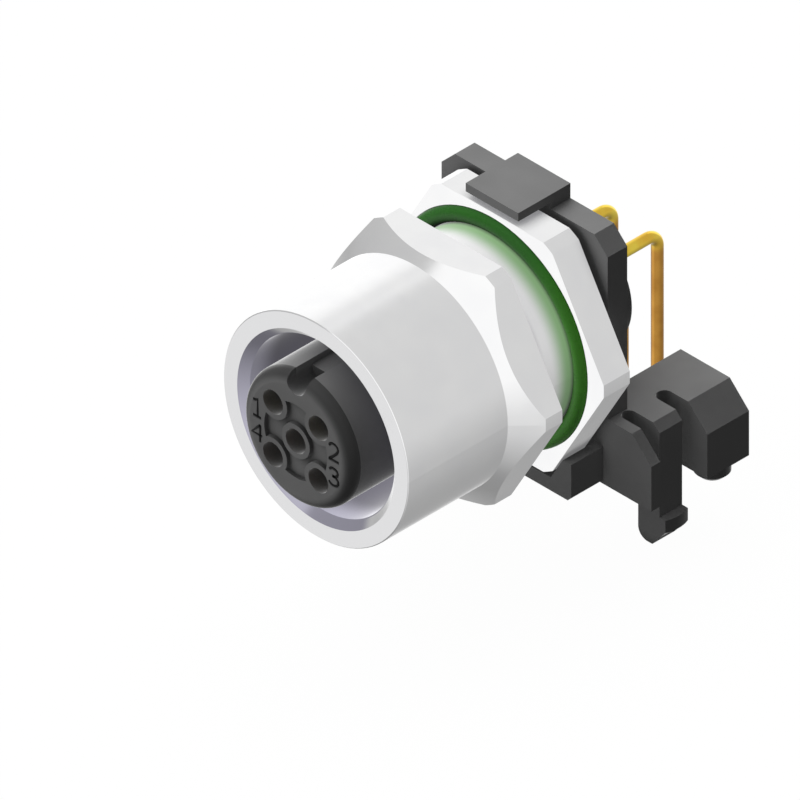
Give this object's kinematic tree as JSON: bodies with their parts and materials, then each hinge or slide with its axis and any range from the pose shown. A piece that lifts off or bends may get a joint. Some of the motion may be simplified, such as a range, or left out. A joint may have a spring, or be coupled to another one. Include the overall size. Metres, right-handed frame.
{
  "type": "m12 connector",
  "caption": "Right-angle circular panel socket with a hexagon threaded sleeve, a hexagon flange with sealing ring, and a snap-in board holder with bent solder tails.",
  "frame": {"origin": "on the circuit board's top face, midway between the two locating pegs", "axes": "+Z away from the board, +Y from the mating face towards the solder tails, +X to the right as seen from the mating side"},
  "size_m": [0.0218, 0.0294, 0.0233],
  "materials": {
    "nickel_plated_brass": "bright nickel plating over turned brass",
    "green_rubber": "smooth moulded rubber",
    "black_rubber": "smooth moulded rubber",
    "black_polyamide": "satin, moulded",
    "gold_plated_brass": "bright gold plating over turned brass"
  },
  "bodies": {
    "root": {"board_holder": "black_polyamide", "contact_insert": "black_polyamide", "insert_ring": "black_rubber", "contact_1": "gold_plated_brass", "contact_2": "gold_plated_brass", "contact_3": "gold_plated_brass", "contact_4": "gold_plated_brass", "contact_5": "gold_plated_brass"},
    "sleeve": {"front_sleeve": "nickel_plated_brass"},
    "bushing": {"threaded_bushing": "nickel_plated_brass", "panel_ring": "green_rubber"}
  },
  "joints": [
    {"name": "sleeve_turn", "type": "hinge", "parent": "root", "child": "sleeve", "pos_m": [0, 0, 0.0096], "axis": [0, 1, 0], "range_deg": [-180, 450]},
    {"name": "bushing_slide", "type": "slide", "parent": "root", "child": "bushing", "axis": [0, 1, 0], "range_m": [-0.00126, 0.00051]}
  ],
  "couplings": [
    {"joint": "bushing_slide", "follows": "sleeve_turn", "m_per_rad": -0.00015915}
  ]
}
